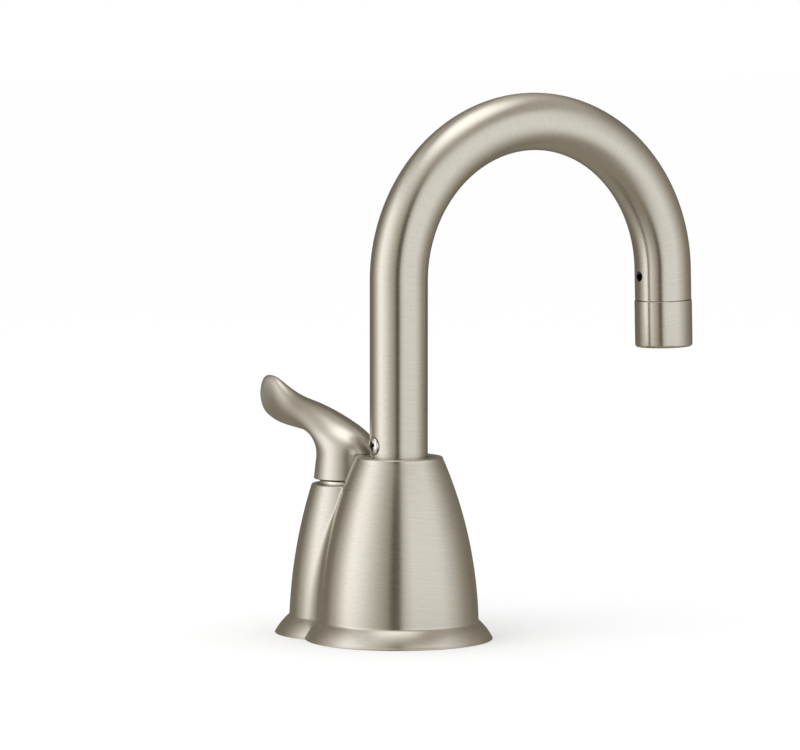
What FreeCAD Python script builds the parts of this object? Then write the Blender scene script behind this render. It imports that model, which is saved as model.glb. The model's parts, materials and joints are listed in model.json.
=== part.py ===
import FreeCAD, Part
import math
import os
from FreeCAD import Vector

# Instant hot water tap, millimetres, +Z up.
# The origin is where the main axis meets the deck, and the spout points along +X at rest.

# Main bell of the base
bell_height = 64.0
bell_top_r = 15.3
bell_foot_r = 27.85
bell_bulge = 2.65
flange_r = 32.9

# Side bell of the base, which holds the valve
side_height = 52.9
side_top_r = 12.3
side_foot_r = 20.7
side_bulge = 1.65
side_flange_r = 25.9
valve_angle = 105.7
valve_offset = 25.1

# Shared by both bells
crease_z = 6.9
lip_z = 2.4
lip_round = 0.7
rim_round = 0.7
bell_wall = 2.4
top_wall = 2.5
gasket_thick = 2.0
gasket_wide = 3.0
gasket_inset = 2.6

# Threaded shank and its clamp under the deck
shank_r = 15.0
shank_bore_r = 12.6
shank_drop = 62.0
socket_depth = 7.0
web_low_z = 2.0
web_high_z = 12.0
web_margin = 4.0
rib_wide = 4.0
rib_spread = 68.0
hose_hole_r = 3.0
hose_hole_at = 9.3
hose_hole_turn = 45.0
deck_thick = 30.0
washer_r = 28.0
washer_thick = 2.5
washer_play = 0.4
nut_across = 46.0
nut_thick = 9.0
thread_pitch = 1.8
thread_deep = 0.8
thread_crest = 0.22
thread_root = 0.28
thread_start = 1.5
thread_over = 0.1
thread_lead = 0.8

# Spout
tube_r = 10.15
tube_wall = 1.2
arch_r = 54.85
arch_z = 125.4
arch_sweep = 178.6
tail_length = 12.6
tube_engage = 14.0
tube_play = 0.3
vent_r = 1.6
vent_up = 9.6
screw_up = 4.1
screw_head_r = 3.0
screw_head_high = 1.5
screw_shank_r = 1.9
screw_seat = 0.7
cross_wide = 0.9
cross_long = 3.4
cross_deep = 0.9
head_flat_r = 1.35
head_dome_r = 2.55
head_dome_up = 1.05
head_edge_up = 0.5

# Outlet at the end of the spout
seam_gap = 0.3
collar_proud = 0.2
collar_length = 16.1
collar_round = 1.1
spigot_length = 6.0
spigot_wall = 0.9
outlet_wall = 1.8
outlet_lip = 1.2
straightener_high = 8.0
vane_thick = 0.8
vane_count = 3
outlet_seal_thick = 1.5

# Swivel post inside the spout's foot
post_play = 0.3
post_bore_r = 3.2
post_above_screw = 7.9
post_foot_r = 4.8
post_stem_r = 5.8
post_cone_high = 10.0
post_shoulder_inset = 0.05
post_shoulder_high = 4.0
thrust_gap = 0.1
thrust_thick = 1.9
groove_deep = 1.65
groove_half = 2.4
ring_deep = 1.8
ring_gap = 0.06
ring_ups = (4.0, 10.5)
hose_tail_r = 4.0
hose_tail_drop = 6.0
barb_high = 0.5

# Lever
hub_gap = 0.4
hub_foot_r = 12.1
hub_waist_r = 11.2
hub_waist_up = 8.0
hub_clear = 0.9
pocket_wall = 2.0
square_wide = 5.6
square_high = 11.0
grub_r = 2.0
grub_z_up = 5.5
grub_recess = 1.0
grub_hex_r = 1.1
# Each station of the lever above the hub: the lower and the upper edge as reach from the hub's axis
# and height above the hub's foot, then half the thickness
lever_stations = (
    ((11.5, 10.6), (-11.0, 12.6), 11.1),
    ((12.6, 12.9), (-5.6, 18.6), 9.6),
    ((15.2, 14.3), (5.4, 23.4), 7.2),
    ((21.0, 15.2), (17.8, 26.9), 4.7),
    ((27.6, 16.4), (25.8, 29.3), 3.5),
    ((34.0, 17.6), (32.6, 32.4), 2.9),
    ((39.6, 19.4), (38.6, 34.6), 2.5),
    ((43.2, 22.0), (42.8, 33.8), 2.0),
    ((45.1, 25.6), (45.0, 30.2), 0.9),
)
station_points = 8
hub_steps = 4

# Valve and cartridge
ring_r = 10.0
ring_high = 1.3
neck_r = 8.5
neck_play = 0.2
valve_r = 9.5
valve_foot_z = 14.0
cartridge_r = 6.8
cartridge_length = 28.0
cartridge_wall = 0.8
chamber_high = 14.0
stem_r = 4.0
stem_play = 0.05
gland_play = 0.3
gland_thick = 2.0
gland_drop = 0.2
disc_thick = 3.0
disc_seal_thick = 1.5
disc_play = 0.3
disc_gap = 0.05
port_r = 1.3
port_at = 2.8
stem_ring_up = 6.0
stem_ring_groove = 1.9
nipple_at = 4.8
nipple_r = 2.7
nipple_bore_r = 1.6
nipple_length = 11.0
nipple_barbs = 3

# Values worked out from the sizes above
tube_bore_r = tube_r - tube_wall
collar_r = tube_r + collar_proud
tube_foot_z = bell_height - tube_engage
screw_z = bell_height + screw_up
hole_r = tube_r + tube_play
post_r = tube_bore_r - post_play
post_top_z = screw_z + post_above_screw
post_shoulder_r = tube_r - post_shoulder_inset
groove_floor_r = post_r - groove_deep
ring_floor_r = tube_bore_r - ring_deep
ring_section = (ring_deep - ring_gap) / 2
hub_foot_z = side_height + ring_high + hub_gap
valve_turn = math.radians(valve_angle)
valve_x = valve_offset * math.cos(valve_turn)
valve_y = valve_offset * math.sin(valve_turn)
valve_axis = Vector(valve_x, valve_y, 0)
shoulder_z = tube_foot_z - thrust_gap - thrust_thick
post_neck_z = shoulder_z - 2 * post_shoulder_high
neck_top_z = side_height + ring_high - gland_drop
cartridge_foot_z = neck_top_z - cartridge_length
up = Vector(0, 0, 1)
half_turn = math.radians(arch_sweep)
arch_end = Vector(arch_r - arch_r * math.cos(half_turn), 0, arch_z + arch_r * math.sin(half_turn))
outlet_way = Vector(math.sin(half_turn), 0, math.cos(half_turn))
tube_end = arch_end + outlet_way * tail_length


def cylinder(radius, low, high, centre=Vector(0, 0, 0)):
    """Upright cylinder between two heights."""
    return Part.makeCylinder(radius, high - low, centre + Vector(0, 0, low))


def tube(outer, inner, low, high, centre=Vector(0, 0, 0)):
    """Upright ring between two heights."""
    return cylinder(outer, low, high, centre).cut(cylinder(inner, low, high, centre))


def line(start, end):
    """Straight edge in the profile plane, from (radius, height) pairs."""
    return Part.LineSegment(Vector(start[0], 0, start[1]), Vector(end[0], 0, end[1])).toShape()


def arc(start, middle, end):
    """Round edge through three points of the profile plane."""
    points = [Vector(p[0], 0, p[1]) for p in (start, middle, end)]
    return Part.Arc(*points).toShape()


def hexagon(corner_r):
    """Closed row of the corners of a hexagon."""
    angles = [math.radians(60 * n) for n in range(7)]
    return [(corner_r * math.cos(angle), corner_r * math.sin(angle)) for angle in angles]


def turned(edges):
    """Solid of revolution about Z from the edges of a closed profile."""
    return Part.Face(Part.Wire(edges)).revolve(Vector(0, 0, 0), up, 360)


def turned_polygon(points):
    """Solid of revolution about Z from the corners of a closed profile."""
    corners = list(points) + [points[0]]
    return turned([line(a, b) for a, b in zip(corners, corners[1:])])


def bulged(low, high, bulge):
    """Middle point of a wall that swells outwards from its chord by the bulge."""
    run = (high[0] - low[0], high[1] - low[1])
    length = math.hypot(*run)
    out = (bulge * run[1] / length, -bulge * run[0] / length)
    return ((low[0] + high[0]) / 2 + out[0], (low[1] + high[1]) / 2 + out[1])


def bell_outside(height, top_r, foot_r, bulge, flange):
    """Bell with a rounded rim, a swelling wall and a flared foot with a rounded lip."""
    top = (top_r - rim_round, height)
    rim = (top_r, height - rim_round)
    rim_middle = (top_r - rim_round * (1 - math.sqrt(0.5)), height - rim_round * (1 - math.sqrt(0.5)))
    foot = (foot_r, crease_z)
    lip_top = (flange - lip_round, lip_z)
    lip = (flange, lip_z / 2)
    lip_foot = (flange - lip_round, 0)
    return turned([
        line((0, 0), (0, height)),
        line((0, height), top),
        arc(top, rim_middle, rim),
        arc(rim, bulged(foot, rim, bulge), foot),
        line(foot, lip_top),
        arc(lip_top, lip, lip_foot),
        line(lip_foot, (0, 0)),
    ])


def bell_inside(height, top_r, foot_r, bulge):
    """Hollow of a bell, one wall inside its outside."""
    top = (top_r - bell_wall, height - top_wall)
    foot = (foot_r - bell_wall, crease_z)
    return turned([
        line((0, 0), (0, top[1])),
        line((0, top[1]), top),
        arc(top, bulged(foot, top, bulge), foot),
        line(foot, (foot[0], 0)),
        line((foot[0], 0), (0, 0)),
    ])


def gasket_ring():
    """Figure of eight that runs under both flanges."""
    outer = cylinder(flange_r - gasket_inset, 0, gasket_thick)
    outer = outer.fuse(cylinder(side_flange_r - gasket_inset, 0, gasket_thick, valve_axis))
    inner = cylinder(flange_r - gasket_inset - gasket_wide, 0, gasket_thick)
    inner = inner.fuse(cylinder(side_flange_r - gasket_inset - gasket_wide, 0, gasket_thick, valve_axis))
    return outer.cut(inner).removeSplitter()


def shank_web():
    """Web in the main bell with the shank's socket, the post's hole and the hose holes."""
    web = cylinder(shank_r + web_margin, web_low_z, web_high_z)
    reach = bell_foot_r - bell_wall / 2
    for turn in (180 - rib_spread, 180, 180 + rib_spread):
        rib = Part.makeBox(reach, rib_wide, web_high_z - crease_z, Vector(0, -rib_wide / 2, crease_z))
        rib.rotate(Vector(0, 0, 0), up, valve_angle + turn)
        web = web.fuse(rib)
    web = web.cut(cylinder(shank_r, web_low_z, web_low_z + socket_depth))
    web = web.cut(cylinder(post_foot_r, web_low_z, web_high_z))
    for turn in (-hose_hole_turn, hose_hole_turn):
        where = math.radians(valve_angle + turn)
        centre = Vector(hose_hole_at * math.cos(where), hose_hole_at * math.sin(where), 0)
        web = web.cut(cylinder(hose_hole_r, web_low_z, web_high_z, centre))
    return web


def base_body():
    """Two hollow bells cast as one, with a pocket in the main bell where the lever's hub turns."""
    outside = bell_outside(bell_height, bell_top_r, bell_foot_r, bell_bulge, flange_r)
    side = bell_outside(side_height, side_top_r, side_foot_r, side_bulge, side_flange_r)
    side.translate(valve_axis)
    pocket_r = hub_foot_r + hub_clear
    inside = bell_inside(bell_height, bell_top_r, bell_foot_r, bell_bulge)
    side_inside = bell_inside(side_height, side_top_r, side_foot_r, side_bulge)
    side_inside.translate(valve_axis)
    pocket_back = cylinder(pocket_r + pocket_wall, side_height - top_wall, bell_height, valve_axis)
    hollow = inside.fuse(side_inside).cut(pocket_back)
    body = outside.fuse(side).cut(hollow)
    body = body.cut(cylinder(pocket_r, side_height, bell_height, valve_axis))
    body = body.cut(cylinder(hole_r, shoulder_z - post_shoulder_high, bell_height))
    body = body.cut(cylinder(neck_r + neck_play, side_height - top_wall, side_height, valve_axis))
    body = body.cut(gasket_ring())
    return body.fuse(shank_web()).removeSplitter()


def thread_groove():
    """Helical groove of a right-hand thread, from below the shank's end to just under the deck's face."""
    foot = -shank_drop - thread_pitch
    flank = (thread_pitch - thread_crest - thread_root) / (2 * thread_deep)
    floor_r = shank_r - thread_deep
    floor_half = thread_root / 2
    mouth_r = shank_r + thread_over
    mouth_half = floor_half + flank * (thread_deep + thread_over)
    corners = [
        (floor_r, foot - floor_half),
        (mouth_r, foot - mouth_half),
        (mouth_r, foot + mouth_half),
        (floor_r, foot + floor_half),
        (floor_r, foot - floor_half),
    ]
    profile = Part.makePolygon([Vector(r, 0, z) for r, z in corners])
    helix = Part.makeHelix(thread_pitch, -thread_start - foot, shank_r)
    helix.translate(Vector(0, 0, foot))
    return Part.Wire(helix.Edges).makePipeShell([profile], True, True)


def mounting_shank():
    """Hollow shank with a chamfered end and its thread below the deck's face."""
    foot = -shank_drop
    head = web_low_z + socket_depth
    blank = turned_polygon([
        (shank_bore_r, foot),
        (shank_r - thread_lead, foot),
        (shank_r, foot + thread_lead),
        (shank_r, head),
        (shank_bore_r, head),
    ])
    return blank.cut(thread_groove())


def deck_washer():
    return tube(washer_r, shank_r + washer_play, -deck_thick - washer_thick, -deck_thick)


def mounting_nut():
    """Hexagon nut on the shank, against the washer."""
    top = -deck_thick - washer_thick
    points = [Vector(x, y, top) for x, y in hexagon(nut_across / math.sqrt(3))]
    nut = Part.Face(Part.makePolygon(points)).extrude(Vector(0, 0, -nut_thick))
    return nut.cut(cylinder(shank_r, top - nut_thick, top))


def swivel_post():
    """Turned post that carries the spout, with a hose tail below the web."""
    tail = web_low_z - hose_tail_drop
    ring_half = ring_section + ring_gap
    points = [
        (post_bore_r, tail), (hose_tail_r - barb_high, tail), (hose_tail_r + barb_high, tail + 2 * barb_high),
        (hose_tail_r - barb_high, tail + 6 * barb_high), (hose_tail_r - barb_high, web_low_z),
        (post_foot_r, web_low_z), (post_foot_r, web_high_z), (post_stem_r, web_high_z),
        (post_stem_r, post_neck_z - post_cone_high), (post_r, post_neck_z),
        (post_r, shoulder_z - post_shoulder_high), (post_shoulder_r, shoulder_z - post_shoulder_high),
        (post_shoulder_r, shoulder_z), (post_r, shoulder_z),
    ]
    for height in [tube_foot_z + up_by for up_by in ring_ups]:
        points += [(post_r, height - ring_half), (ring_floor_r, height - ring_half)]
        points += [(ring_floor_r, height + ring_half), (post_r, height + ring_half)]
    points += [(post_r, screw_z - groove_half), (groove_floor_r, screw_z - groove_half)]
    points += [(groove_floor_r, screw_z + groove_half), (post_r, screw_z + groove_half)]
    points += [(post_r, post_top_z), (post_bore_r, post_top_z)]
    return turned_polygon(points)


def post_o_rings():
    """Two seals between the post and the spout's bore."""
    centre_r = ring_floor_r + ring_section
    rings = [Part.makeTorus(centre_r, ring_section, Vector(0, 0, tube_foot_z + up_by)) for up_by in ring_ups]
    return Part.makeCompound(rings)


def thrust_washer():
    return tube(post_shoulder_r, post_r, shoulder_z, shoulder_z + thrust_thick)


def gooseneck(radius):
    """Solid round bar along the spout's line: leg, arch and tail."""
    leg = cylinder(radius, tube_foot_z, arch_z)
    disc = Part.Face(Part.Wire(Part.makeCircle(radius, Vector(0, 0, arch_z))))
    arch = disc.revolve(Vector(arch_r, 0, arch_z), Vector(0, 1, 0), arch_sweep)
    tail = Part.makeCylinder(radius, tail_length, arch_end, outlet_way)
    return leg.fuse([arch, tail]).removeSplitter()


def spout_tube():
    """Gooseneck: straight leg, arch and short tail, with the vent, the screw's hole and its seat."""
    spout = gooseneck(tube_r).cut(gooseneck(tube_bore_r))
    vent_centre = tube_end - outlet_way * vent_up
    spout = spout.cut(Part.makeCylinder(vent_r, 2 * tube_r, vent_centre, Vector(-1, 0, 0)))
    spout = spout.cut(Part.makeCylinder(screw_shank_r, tube_r, Vector(0, 0, screw_z), Vector(-1, 0, 0)))
    seat = Vector(screw_seat - tube_r, 0, screw_z)
    return spout.cut(Part.makeCylinder(screw_head_r + tube_play, tube_r, seat, Vector(-1, 0, 0)))


def spout_screw():
    """Cross-head screw whose tip runs in the post's groove and keeps the spout down."""
    tip = groove_floor_r + tube_play
    seat = tube_r - screw_seat
    head_top = seat + screw_head_high
    edge = seat + head_edge_up
    profile = [
        line((0, tip), (screw_shank_r, tip)),
        line((screw_shank_r, tip), (screw_shank_r, seat)),
        line((screw_shank_r, seat), (screw_head_r, seat)),
        line((screw_head_r, seat), (screw_head_r, edge)),
        arc((screw_head_r, edge), (head_dome_r, seat + head_dome_up), (head_flat_r, head_top)),
        line((head_flat_r, head_top), (0, head_top)),
        line((0, head_top), (0, tip)),
    ]
    screw = turned(profile)
    for size in ((cross_long, cross_wide), (cross_wide, cross_long)):
        corner = Vector(-size[0] / 2, -size[1] / 2, head_top - cross_deep)
        screw = screw.cut(Part.makeBox(size[0], size[1], screw_head_high, corner))
    screw.rotate(Vector(0, 0, 0), Vector(0, 1, 0), -90)
    screw.translate(Vector(0, 0, screw_z))
    return screw


def at_outlet(shape):
    """Moves a piece that hangs below the origin to the spout's end, along the outlet's lean."""
    shape.rotate(Vector(0, 0, 0), Vector(0, 1, 0), arch_sweep - 180)
    shape.translate(tube_end)
    return shape


def outlet_collar():
    """Collar that plugs into the spout's end and holds the flow straightener."""
    foot = -seam_gap - collar_length
    bore_r = collar_r - outlet_wall
    spigot_bore_r = tube_bore_r - spigot_wall
    hold = foot + outlet_lip + straightener_high + outlet_seal_thick
    round_middle = collar_round * (1 - math.sqrt(0.5))
    edges = [
        line((spigot_bore_r, spigot_length), (tube_bore_r, spigot_length)),
        line((tube_bore_r, spigot_length), (tube_bore_r, -seam_gap)),
        line((tube_bore_r, -seam_gap), (collar_r, -seam_gap)),
        line((collar_r, -seam_gap), (collar_r, foot + collar_round)),
        arc((collar_r, foot + collar_round), (collar_r - round_middle, foot + round_middle),
            (collar_r - collar_round, foot)),
        line((collar_r - collar_round, foot), (bore_r - outlet_lip, foot)),
        line((bore_r - outlet_lip, foot), (bore_r - outlet_lip, foot + outlet_lip)),
        line((bore_r - outlet_lip, foot + outlet_lip), (bore_r, foot + outlet_lip)),
        line((bore_r, foot + outlet_lip), (bore_r, hold)),
        line((bore_r, hold), (spigot_bore_r, hold)),
        line((spigot_bore_r, hold), (spigot_bore_r, spigot_length)),
    ]
    return at_outlet(turned(edges))


def flow_straightener():
    """Ring with crossed vanes that smooths the stream."""
    low = -seam_gap - collar_length + outlet_lip
    outer = collar_r - outlet_wall
    inner = outer - outlet_lip
    body = tube(outer, inner, low, low + straightener_high)
    for n in range(vane_count):
        vane = Part.makeBox(2 * inner + outlet_lip, vane_thick, straightener_high)
        vane.translate(Vector(-inner - outlet_lip / 2, -vane_thick / 2, low))
        vane.rotate(Vector(0, 0, 0), up, 180 * n / vane_count)
        body = body.fuse(vane)
    return at_outlet(body.removeSplitter())


def outlet_seal():
    low = -seam_gap - collar_length + outlet_lip + straightener_high
    outer = collar_r - outlet_wall
    return at_outlet(tube(outer, outer - outlet_lip, low, low + outlet_seal_thick))


def lever_station(lower, upper, half_thick):
    """Closed oval across the lever, from its lower to its upper edge, as two half ovals."""
    middle = Vector((lower[0] + upper[0]) / 2, 0, (lower[1] + upper[1]) / 2)
    half = Vector((upper[0] - lower[0]) / 2, 0, (upper[1] - lower[1]) / 2)
    halves = []
    for side in (1, -1):
        points = []
        for n in range(station_points + 1):
            angle = math.pi * n / station_points
            across = Vector(0, side * half_thick * math.sin(angle), 0)
            points.append(middle - half * (side * math.cos(angle)) + across)
        curve = Part.BSplineCurve()
        leave = Vector(0, side, 0)
        curve.interpolate(points, InitialTangent=leave, FinalTangent=leave * -1)
        halves.append(curve.toShape())
    return Part.Wire(halves)


def at_valve(shape):
    """Moves a piece made about the origin to the valve's axis, with its +X outwards."""
    shape.rotate(Vector(0, 0, 0), up, valve_angle)
    shape.translate(valve_axis)
    return shape


def lever_body():
    """Hub and wave-shaped blade as one smooth loft, standing on the hub's foot at height 0."""
    wires = []
    for step in range(hub_steps + 1):
        share = step / hub_steps
        radius = hub_foot_r + (hub_waist_r - hub_foot_r) * share
        height = hub_waist_up * share
        wires.append(lever_station((radius, height), (-radius, height), radius))
    wires += [lever_station(*station) for station in lever_stations]
    return Part.makeLoft(wires, True, False)


def grub_start():
    return square_wide / 2


def grub_end():
    return hub_waist_r - grub_recess


def lever_handle():
    """Lever with the square socket for the stem and the grub screw's hole on its far side."""
    lever = lever_body()
    corner = Vector(-square_wide / 2, -square_wide / 2, 0)
    socket = Part.makeBox(square_wide, square_wide, square_high, corner)
    lever = lever.cut(socket)
    hole = Part.makeCylinder(grub_r, 2 * hub_foot_r, Vector(0, -grub_start(), grub_z_up), Vector(0, -1, 0))
    lever = lever.cut(hole)
    lever.translate(Vector(0, 0, hub_foot_z))
    return at_valve(lever)


def lever_grub_screw():
    """Grub screw with a hexagon socket, tight against the stem's flat."""
    length = grub_end() - grub_start()
    screw = Part.makeCylinder(grub_r, length, Vector(0, -grub_start(), grub_z_up), Vector(0, -1, 0))
    points = [Vector(x, -grub_end(), grub_z_up + y) for x, y in hexagon(grub_hex_r)]
    screw = screw.cut(Part.Face(Part.makePolygon(points)).extrude(Vector(0, grub_r, 0)))
    screw.translate(Vector(0, 0, hub_foot_z))
    return at_valve(screw)


def neck_ring():
    """Polished ring nut that clamps the valve to the side bell's top."""
    return at_valve(tube(ring_r, neck_r, side_height, side_height + ring_high))


def valve_body():
    """Brass body with a threaded neck, the cartridge's bore and two water ways."""
    body = cylinder(valve_r, valve_foot_z, side_height - top_wall)
    body = body.fuse(cylinder(neck_r, side_height - top_wall, neck_top_z))
    body = body.cut(cylinder(cartridge_r, cartridge_foot_z, neck_top_z))
    for side in (-1, 1):
        way = Vector(0, side * nipple_at, 0)
        body = body.cut(cylinder(nipple_bore_r, valve_foot_z, cartridge_foot_z, way))
    return at_valve(body.removeSplitter())


def hose_nipple(side):
    """Barbed nipple under the valve body."""
    low = valve_foot_z - nipple_length
    points = [(nipple_bore_r, low), (nipple_r - barb_high, low)]
    for n in range(nipple_barbs):
        height = low + 3 * n * barb_high
        points.append((nipple_r + barb_high, height + 2 * barb_high))
        points.append((nipple_r - barb_high, height + 3 * barb_high))
    collar = valve_foot_z - 2 * barb_high
    points += [(nipple_r, collar), (nipple_r + 2 * barb_high, collar)]
    points += [(nipple_r + 2 * barb_high, valve_foot_z), (nipple_bore_r, valve_foot_z)]
    nipple = turned_polygon(points)
    nipple.translate(Vector(0, side * nipple_at, 0))
    return at_valve(nipple)


def chamber_r():
    return cartridge_r - cartridge_wall


def cartridge_sleeve():
    """Housing of the cartridge: disc chamber below, stem guide with a seal groove above."""
    top = neck_top_z - gland_thick
    ceiling = cartridge_foot_z + chamber_high
    sleeve = cylinder(cartridge_r, cartridge_foot_z, top)
    sleeve = sleeve.cut(cylinder(chamber_r(), cartridge_foot_z, ceiling))
    sleeve = sleeve.cut(cylinder(stem_r + stem_play, ceiling, top))
    groove = ceiling + stem_ring_up
    groove_r = stem_r + stem_play + stem_ring_groove
    sleeve = sleeve.cut(cylinder(groove_r, groove - stem_ring_groove / 2, groove + stem_ring_groove / 2))
    return at_valve(sleeve)


def stem_o_ring():
    section = (stem_ring_groove - stem_play) / 2
    groove = cartridge_foot_z + chamber_high + stem_ring_up
    centre_r = stem_r + stem_play + stem_ring_groove - section
    return at_valve(Part.makeTorus(centre_r, section, Vector(0, 0, groove)))


def cartridge_nut():
    """Gland nut that keeps the cartridge down in the valve's neck."""
    return at_valve(tube(cartridge_r, stem_r + gland_play, neck_top_z - gland_thick, neck_top_z))


def with_ports(disc, low, high):
    """Disc with a pair of water ports."""
    for side in (-1, 1):
        disc = disc.cut(cylinder(port_r, low, high, Vector(0, side * port_at, 0)))
    return disc


def disc_seal():
    outer = chamber_r()
    low = cartridge_foot_z
    return at_valve(with_ports(cylinder(outer, low, low + disc_seal_thick), low, low + disc_seal_thick))


def fixed_disc():
    low = cartridge_foot_z + disc_seal_thick
    return at_valve(with_ports(cylinder(chamber_r(), low, low + disc_thick), low, low + disc_thick))


def moving_disc_low():
    return cartridge_foot_z + disc_seal_thick + disc_thick + disc_gap


def moving_disc():
    """Turning disc, whose ports meet the fixed ones when the lever is open."""
    low = moving_disc_low()
    disc = with_ports(cylinder(chamber_r() - disc_play, low, low + disc_thick), low, low + disc_thick / 2)
    disc.rotate(Vector(0, 0, 0), up, 90)
    return at_valve(disc)


def valve_stem():
    """Stem with a driving flange on the moving disc and a square end in the lever."""
    low = moving_disc_low() + disc_thick
    stem = cylinder(chamber_r() - disc_play, low, low + disc_thick)
    stem = stem.fuse(cylinder(stem_r, low + disc_thick, hub_foot_z))
    corner = Vector(-square_wide / 2, -square_wide / 2, hub_foot_z)
    stem = stem.fuse(Part.makeBox(square_wide, square_wide, square_high, corner))
    return at_valve(stem.removeSplitter())


pieces = {
    "base_body": base_body(),
    "base_gasket": gasket_ring(),
    "mounting_shank": mounting_shank(),
    "deck_washer": deck_washer(),
    "mounting_nut": mounting_nut(),
    "swivel_post": swivel_post(),
    "post_o_rings": post_o_rings(),
    "thrust_washer": thrust_washer(),
    "spout_tube": spout_tube(),
    "spout_screw": spout_screw(),
    "outlet_collar": outlet_collar(),
    "flow_straightener": flow_straightener(),
    "outlet_seal": outlet_seal(),
    "lever_handle": lever_handle(),
    "lever_grub_screw": lever_grub_screw(),
    "neck_ring": neck_ring(),
    "valve_body": valve_body(),
    "cold_inlet_nipple": hose_nipple(-1),
    "tank_feed_nipple": hose_nipple(1),
    "cartridge_sleeve": cartridge_sleeve(),
    "stem_o_ring": stem_o_ring(),
    "cartridge_nut": cartridge_nut(),
    "disc_seal": disc_seal(),
    "fixed_disc": fixed_disc(),
    "moving_disc": moving_disc(),
    "valve_stem": valve_stem(),
}

os.makedirs("parts", exist_ok=True)
for name, shape in pieces.items():
    shape.exportStep("parts/" + name + ".step")
    print(name, "solids", len(shape.Solids), "valid", shape.isValid(), "volume", round(shape.Volume, 1))
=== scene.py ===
import json
import math

import bmesh
import bpy
from mathutils import Matrix, Vector


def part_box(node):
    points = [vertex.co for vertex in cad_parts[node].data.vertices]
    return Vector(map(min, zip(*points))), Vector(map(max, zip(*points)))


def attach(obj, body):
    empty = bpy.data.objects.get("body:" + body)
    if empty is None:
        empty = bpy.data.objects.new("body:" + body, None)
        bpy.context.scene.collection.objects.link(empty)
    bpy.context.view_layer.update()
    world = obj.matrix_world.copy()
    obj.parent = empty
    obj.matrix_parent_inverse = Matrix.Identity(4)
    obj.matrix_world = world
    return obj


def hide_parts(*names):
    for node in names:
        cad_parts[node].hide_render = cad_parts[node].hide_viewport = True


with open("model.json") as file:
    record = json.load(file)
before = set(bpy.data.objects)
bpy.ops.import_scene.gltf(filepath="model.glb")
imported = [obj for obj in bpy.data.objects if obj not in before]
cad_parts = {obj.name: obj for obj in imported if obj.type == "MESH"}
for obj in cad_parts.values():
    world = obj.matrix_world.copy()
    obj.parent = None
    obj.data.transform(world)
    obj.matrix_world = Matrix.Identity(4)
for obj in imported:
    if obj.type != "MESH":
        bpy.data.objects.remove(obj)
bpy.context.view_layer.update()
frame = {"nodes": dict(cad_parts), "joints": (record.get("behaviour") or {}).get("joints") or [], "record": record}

# Instant hot water tap in brushed nickel, in metres, in the frame of its solids.
# The spout turns about the upright main axis at the origin, and the deck is at height 0.
MM = 0.001
TURN = 2 * math.pi

# Places read from the frame
joints = {joint["name"]: joint for joint in frame["joints"]}
valve_at = Vector(joints["lever_turn"]["pos_m"])
valve_turn = math.atan2(valve_at.y, valve_at.x)
valve_offset = math.hypot(valve_at.x, valve_at.y)
side_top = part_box("neck_ring")[0].z
base_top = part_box("base_body")[1].z
tube_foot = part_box("spout_tube")[0].z
tube_r = -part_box("spout_tube")[0].x
shank_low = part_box("mounting_shank")[0].z
shank_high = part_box("mounting_shank")[1].z
shank_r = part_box("mounting_shank")[1].x

# Bells of the base
main_bell = {"top": base_top, "top_r": 15.5 * MM, "foot_r": 27.95 * MM, "bulge": 2.8 * MM,
             "flange": 32.9 * MM}
side_bell = {"top": side_top, "top_r": 13.0 * MM, "foot_r": 20.8 * MM, "bulge": 1.5 * MM,
             "flange": 25.9 * MM}
crease_z = 6.5 * MM
crease_round = 0.6 * MM
flare_bulge = 0.35 * MM
lip_z = 0.5 * MM
lip_round = 0.12 * MM
rim_round = 0.7 * MM
# The valley between the bells is rounded more and more from its top towards the crease,
# then less on the flange
valley_top_z = 45.0 * MM
valley_top_round = 1.0 * MM
valley_foot_round = 17.0 * MM
valley_end_z = 3.4 * MM
valley_end_round = 1.4 * MM
bell_wall = 2.4 * MM
top_wall = 2.5 * MM
inner_round = 0.3 * MM
pocket_r = 13.0 * MM
pocket_back_r = 14.5 * MM
tube_hole_r = tube_r + 0.3 * MM
gasket_high = 2.0 * MM
gasket_inset = 2.6 * MM
gasket_wide = 3.0 * MM
web_reach = 25.3 * MM
web_top = 12.05 * MM

# Spout
tube_wall = 1.2 * MM
arch_r = 54.85 * MM
arch_z = 125.4 * MM
arch_sweep = math.radians(178.6)
tail_length = 11.05 * MM
vent_r = 1.85 * MM
vent_up = 8.4 * MM
seam_gap = 0.3 * MM
screw_z = 68.1 * MM
screw_stem_r = 1.9 * MM
screw_head_r = 3.0 * MM
screw_seat_r = 3.3 * MM
screw_seat_deep = 0.7 * MM
screw_turn = math.radians(20)
aim_left = Matrix.Rotation(-math.pi / 2, 4, "Y")


def srgb(text):
    """Linear colour with full alpha from an sRGB hex value."""
    channels = [int(text[n:n + 2], 16) / 255 for n in (1, 3, 5)]
    return [c / 12.92 if c <= 0.04045 else ((c + 0.055) / 1.055) ** 2.4 for c in channels] + [1.0]


def add(tree, kind, inputs=None, **settings):
    """Adds a node with its settings, and sets or links its inputs by name or number."""
    made = tree.nodes.new(kind)
    for name, value in settings.items():
        setattr(made, name, value)
    for name, value in (inputs or {}).items():
        if isinstance(value, bpy.types.NodeSocket):
            tree.links.new(value, made.inputs[name])
        else:
            made.inputs[name].default_value = value
    return made


# Finishes

def new_material(name):
    """Empty node material and its tree."""
    material = bpy.data.materials.new(name)
    material.use_nodes = True
    tree = material.node_tree
    tree.nodes.clear()
    return material, tree


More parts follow.
